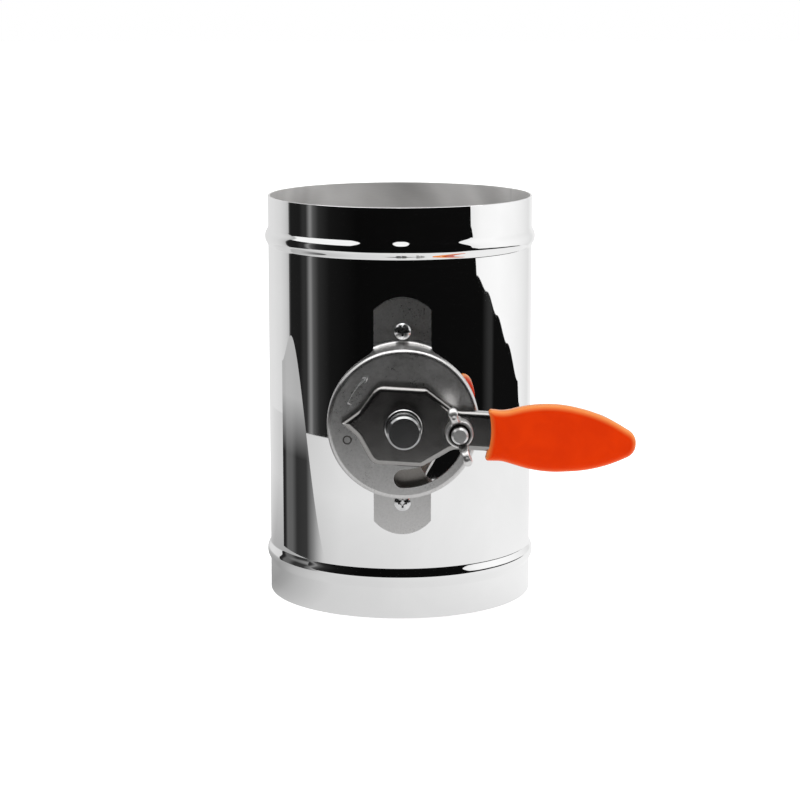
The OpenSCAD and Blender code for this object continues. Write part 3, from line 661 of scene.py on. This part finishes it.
# The lock. A bolt slides in the slot with its square head behind the disc, and a cast, nickel
# plated wing nut on it clamps the lever. The casting has soft edges everywhere.
bolt_low, bolt_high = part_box("lock_bolt")
thread_pitch = 0.0010
bolt_steel, tree = new_material("turned_bolt")
place = add_node(tree, "TexCoord")
axes, facing = add_node(tree, "SeparateXYZ"), add_node(tree, "SeparateXYZ")
tree.links.new(place.outputs["Object"], axes.inputs["Vector"])
tree.links.new(place.outputs["Normal"], facing.inputs["Vector"])
on_side = step_mask(tree, calculate(tree, "ABSOLUTE", facing.outputs["Y"]), 0.5, 0.2)
thread = calculate(tree, "DIVIDE", calculate(tree, "PINGPONG", axes.outputs["Y"], thread_pitch / 2),
                   thread_pitch / 2)
marks = use_group(tree, turned_rings, Pitch=0.00012, Centre=(
    (bolt_low.x + bolt_high.x) / 2, 0.0, (bolt_low.z + bolt_high.z) / 2))
smears = use_group(tree, handling, Patch_Size=0.003)
edges = use_group(tree, rubbed_edge, Width=0.0002)
face_steel = mixed(tree, edges, mixed(tree, smears, grey(0.68), grey(0.80)), grey(0.93))
# The thread on the bolt's side is coloured near black in its roots and grey on its crests: painted shade of the
# thread's grooves.
thread_painted_shade = mixed(tree, thread, grey(0.03, 0.002), grey(0.34, 0.004))
metal_surface(tree, mixed(tree, on_side, face_steel, thread_painted_shade), between(tree, marks, 0.30, 0.40),
              calculate(tree, "MULTIPLY", on_side, thread), 0.0003)
dress(bolt_steel, "lock_bolt")

cast_voxel = 0.00022
wing_set = math.radians(107)
wing_out = Vector((math.cos(wing_set), 0, math.sin(wing_set)))
wing_side = Vector((-wing_out.z, 0, wing_out.x))
wing_half = 0.0017
bolt_axis = Vector(((bolt_low.x + bolt_high.x) / 2, -lever_face, (bolt_low.z + bolt_high.z) / 2))
hub_reach, hub_height = 0.00495, 0.0070
sink_reach, sink_slope = 0.0040, 0.9
lobe_middle, lobe_end, neck_share = 0.0088, 0.0022, 0.2
dimple_out, dimple_height, dimple_reach, dimple_depth = 0.0077, 0.0139, 0.0010, 0.0003


def eased_share(share):
    share = min(max(share, 0.0), 1.0)
    return share * share * (3 - 2 * share)


cast = new_object("cast_wing_nut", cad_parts["wing_nut"].data.copy())
remesh = cast.modifiers.new("casting", "REMESH")
remesh.mode = "VOXEL"
remesh.voxel_size = cast_voxel
soften = cast.modifiers.new("soft_edges", "SMOOTH")
soften.factor, soften.iterations = 0.5, 8
evaluated = cast.evaluated_get(bpy.context.evaluated_depsgraph_get())
mesh = bpy.data.meshes.new_from_object(evaluated)
cast.modifiers.clear()
cast.data = mesh
for point in mesh.vertices:
    off = point.co - bolt_axis
    out, aside = off.dot(wing_out), off.dot(wing_side)
    height = -off.y
    reach = math.hypot(out, aside)
    if height < hub_height + 0.0003 and reach > hub_reach:
        clear_of_wing = eased_share((abs(aside) - wing_half) / 0.0010)
        pull = 1 - clear_of_wing * (reach - hub_reach) / reach
        out, aside = out * pull, aside * pull
    if height > hub_height - 0.0012 and reach < sink_reach:
        height -= (sink_reach - reach) * sink_slope * (height - hub_height + 0.0012) / 0.0012
    if abs(out) > lobe_middle:
        aside *= math.sqrt(max(0.1, 1 - ((abs(out) - lobe_middle) / lobe_end) ** 2))
    elif abs(out) > hub_reach:
        aside *= 1 - neck_share * math.sin(math.pi * (abs(out) - hub_reach) / (lobe_middle - hub_reach))
    from_dimple = math.hypot(abs(out) - dimple_out, aside, height - dimple_height)
    if from_dimple < dimple_reach:
        height -= dimple_depth * (1 - (from_dimple / dimple_reach) ** 2) ** 2
    point.co = bolt_axis + wing_out * out + wing_side * aside + Vector((0, -height, 0))
smooth_faces(mesh)

nickel, tree = new_material("cast_nickel")
skin = use_group(tree, grain, Grain_Size=0.0006)
smears = use_group(tree, handling, Patch_Size=0.003)
# The nut's recesses and the ring about its hub get the same painted shade.
recess_darkness = use_group(tree, painted_recess_shade, Reach=0.0009)
metal_surface(tree, mixed(tree, recess_darkness, mixed(tree, smears, grey(0.70, 0.010), grey(0.84, 0.008)), grey(0.04, 0.004)),
              between(tree, skin, 0.34, 0.46), skin, 0.000006)
mesh.materials.clear()
mesh.materials.append(nickel)
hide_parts("wing_nut")
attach(cast, "lock_nut")


# The studio. The damper stands on a plain white table under soft light from above. Its polish shows
# the table near it, the dark room beyond the table's front edge and the lit panels to the sides and
# above, which stand round it as sheets that only a polished surface sees.
camera_distance = 0.89595
camera_height = 0.24006
camera_tilt = math.radians(10.574)
camera_azimuth = math.radians(-1.0)
camera_data = bpy.data.cameras.new("camera")
camera_data.lens = 106.7
camera_data.sensor_width = 36.0
camera = bpy.data.objects.new("camera", camera_data)
camera.location = (camera_distance * math.sin(camera_azimuth),
                   -camera_distance * math.cos(camera_azimuth), camera_height)
camera.rotation_euler = (math.pi / 2 - camera_tilt, 0.0, camera_azimuth)
bpy.context.scene.collection.objects.link(camera)
bpy.context.scene.camera = camera


def seen_only_in_polish(thing):
    thing.visible_camera = False
    thing.visible_diffuse = False
    thing.visible_transmission = False
    thing.visible_volume_scatter = False
    thing.visible_shadow = False


def flat_sheet(name, half_size, height, material):
    mesh = bpy.data.meshes.new(name)
    mesh.from_pydata([(x * half_size, y * half_size, height)
                      for x, y in ((-1, -1), (1, -1), (1, 1), (-1, 1))], [], [(0, 1, 2, 3)])
    mesh.materials.append(material)
    return new_object(name, mesh)


def standing_sheet(name, radius, azimuths, bottom, top, material):
    """A sheet on an arc about the duct. radius, bottom and top may each follow the azimuth."""
    def at(value, azimuth):
        return value(azimuth) if callable(value) else value
    steps = int(azimuths[1] - azimuths[0])
    mesh = bpy.data.meshes.new(name)
    points, faces = [], []
    for k in range(steps + 1):
        azimuth = azimuths[0] + (azimuths[1] - azimuths[0]) * k / steps
        for edge in (bottom, top):
            points.append((at(radius, azimuth) * math.sin(math.radians(azimuth)),
                           -at(radius, azimuth) * math.cos(math.radians(azimuth)), at(edge, azimuth)))
        if k:
            faces.append((2 * k - 2, 2 * k, 2 * k + 1, 2 * k - 1))
    mesh.from_pydata(points, [], faces)
    mesh.materials.append(material)
    seen_only_in_polish(new_object(name, mesh))


def eased(*corners):
    """A value that eases from each (azimuth, value) corner to the next."""
    def value(azimuth):
        for (first, low), (second, high) in zip(corners, corners[1:]):
            if azimuth <= second:
                share = (azimuth - first) / (second - first)
                return low + (high - low) * share * share * (3 - 2 * share)
        return corners[-1][1]
    return value


def shaded_paper(name, levels, far=None, spread=(0.0, 1.0), share=1.0):
    """Paper that shines by azimuth, from (azimuth, level) stops, and blends to far with distance."""
    material, tree = new_material(name)
    place = add_node(tree, "TexCoord")
    axes = add_node(tree, "SeparateXYZ")
    tree.links.new(place.outputs["Object"], axes.inputs["Vector"])
    azimuth = calculate(tree, "ARCTAN2", axes.outputs["X"],
                        calculate(tree, "MULTIPLY", axes.outputs["Y"], -1.0))
    shade = add_node(tree, "ValToRGB")
    stops = shade.color_ramp.elements
    stops[0].position = (levels[0][0] + 180) / 360
    stops[-1].position = (levels[-1][0] + 180) / 360
    for where, level in levels[1:-1]:
        stops.new((where + 180) / 360)
    for stop, (where, level) in zip(stops, levels):
        stop.color = (level, level, level, 1.0)
    tree.links.new(step_mask(tree, azimuth, -math.pi, math.pi), shade.inputs["Fac"])
    colour = shade.outputs["Color"]
    if far is not None:
        reach = add_node(tree, "VectorMath", operation="LENGTH")
        tree.links.new(place.outputs["Object"], reach.inputs[0])
        colour = mixed(tree, between(tree, step_mask(tree, reach.outputs["Value"], *spread), 0.0, share),
                       colour, far)
    glow = add_node(tree, "Emission", Strength=1.0)
    out = add_node(tree, "OutputMaterial")
    tree.links.new(colour, glow.inputs["Color"])
    tree.links.new(glow.outputs["Emission"], out.inputs["Surface"])
    return material


table_paint, tree = new_material("pale_table")
mottle = use_group(tree, handling, Patch_Size=0.2)
surface = add_node(tree, "BsdfPrincipled")
surface.inputs["Specular IOR Level"].default_value = 0.1
surface.inputs["Emission Color"].default_value = (1.0, 1.0, 1.0, 1.0)
surface.inputs["Emission Strength"].default_value = 0.45
out = add_node(tree, "OutputMaterial")
tree.links.new(mixed(tree, mottle, (0.90, 0.90, 0.90, 1.0), (0.93, 0.93, 0.93, 1.0)),
               surface.inputs["Base Color"])
tree.links.new(between(tree, mottle, 0.6, 0.7), surface.inputs["Roughness"])
tree.links.new(surface.outputs["BSDF"], out.inputs["Surface"])
table = flat_sheet("table", 6.0, 0.0, table_paint)
table.visible_glossy = False

# The table that the polish sees is painted darker close to the duct's foot and most of all to its left, a painted
# shadow, and it blends half way to an even pale grey further off.
table_with_painted_shadow = shaded_paper("table_in_polish", (
    (-180, 0.80), (-150, 0.62), (-125, 0.37), (-95, 0.33), (-85, 0.38), (-75, 0.47), (-62, 0.55),
    (-45, 0.67), (0, 0.745), (50, 0.85), (72, 0.905), (100, 0.935), (180, 0.90)), grey(0.92), (0.06, 0.24), 0.5)
room_black = shaded_paper("dark_room", (
    (-107, 0.16), (-105, 0.014), (-92, 0.012), (-88, 0.030), (-84, 0.032), (-79.5, 0.27), (-77, 0.10),
    (-71, 0.026), (-60, 0.008), (-35, 0.003), (70, 0.004), (77, 0.03), (80, 0.03), (83, 0.005)))
wall_white = shaded_paper("lit_walls", (
    (-180, 0.77), (-138, 0.77), (-122, 0.72), (-112, 0.62), (-106, 0.45), (-103, 1.0), (48, 1.0), (56, 0.86), (68, 0.99), (88, 1.05),
    (110, 0.98), (125, 0.90), (140, 0.80), (150, 0.90), (180, 0.92)))
board_grey = shaded_paper("grey_board", (
    (-104, 0.02), (-100, 0.02), (-97, 0.13), (-90, 0.12), (-84, 0.03), (-73, 0.04), (-66, 0.25), (-58, 0.6), (-52, 0.72)),
    grey(0.60), (0.122, 0.132), 0.75)
ceiling_white = shaded_paper("lit_ceiling", ((-180, 2.2), (180, 2.2)))
seen_only_in_polish(flat_sheet("table_in_polish", 2.0, -0.0004, table_with_painted_shadow))
seen_only_in_polish(flat_sheet("lit_ceiling", 0.45, 0.62, ceiling_white))
standing_sheet("dark_room", eased((-107, 0.37), (-60, 0.37), (-25, 0.31), (5, 0.31), (20, 0.285),
                                  (42, 0.285), (62, 0.37), (127, 0.37)), (-107, 127), 0.0, eased(
    (-107, 0.27), (-43, 0.30), (-38, 0.55), (-13, 0.55), (-2, 0.33), (2, 0.33), (13, 0.55), (56, 0.55),
    (57.1, 0.124), (58.2, 0.108), (63.9, 0.090), (64.0, 0.083), (74.8, 0.074), (86.1, 0.061), (99.8, 0.045),
    (118.2, 0.023), (119.8, 0.0115), (127, 0.0)), room_black)
standing_sheet("lit_walls", 0.40, (-180, 180), 0.0, 1.2, wall_white)
standing_sheet("grey_board", 0.115, (-104, -52), 0.0, eased(
    (-104, 0.078), (-90, 0.090), (-52, 0.0)), board_grey)

world = bpy.data.worlds.new("room")
bpy.context.scene.world = world
world.use_nodes = True
world.node_tree.nodes["Background"].inputs["Color"].default_value = (1.0, 1.0, 1.0, 1.0)
world.node_tree.nodes["Background"].inputs["Strength"].default_value = 1.0

lamp_data = bpy.data.lights.new("soft_light", "SUN")
lamp_data.energy = 0.6
lamp_data.angle = math.radians(70)
lamp = bpy.data.objects.new("soft_light", lamp_data)
lamp.rotation_euler = Vector((0.35, 0.3, -1.0)).to_track_quat("-Z", "Y").to_euler()
lamp.visible_glossy = False
bpy.context.scene.collection.objects.link(lamp)
bpy.context.scene.view_settings.view_transform = "Standard"
